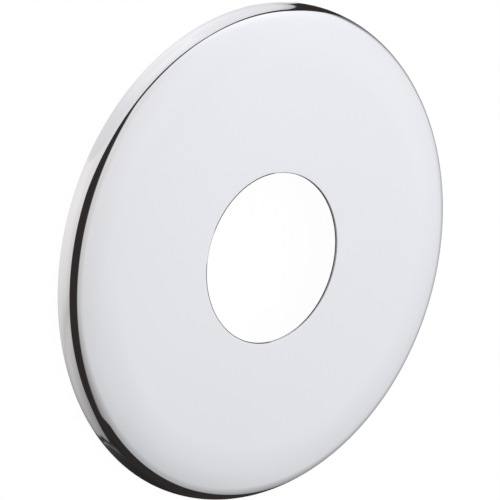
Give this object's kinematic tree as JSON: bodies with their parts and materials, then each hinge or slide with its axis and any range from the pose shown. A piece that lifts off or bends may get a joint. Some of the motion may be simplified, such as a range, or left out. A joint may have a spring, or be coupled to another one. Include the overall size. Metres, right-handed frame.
{
  "type": "tap rosette",
  "caption": "Thin polished cover rosette for a tap's wall connection: a shallow dome with a rolled border that stands on the wall and a plain pierced hole in the middle.",
  "frame": {"origin": "centre of the rim plane, where the skirt stands on the wall", "axes": "+Z along the hole's axis, out of the domed face; X and Y are free, because the part is a body of revolution"},
  "size_m": [0.065, 0.065, 0.0041],
  "materials": {
    "polished_chrome": "mirror-polished plating over pressed sheet"
  },
  "bodies": {
    "root": {"rosette": "polished_chrome"}
  },
  "joints": []
}
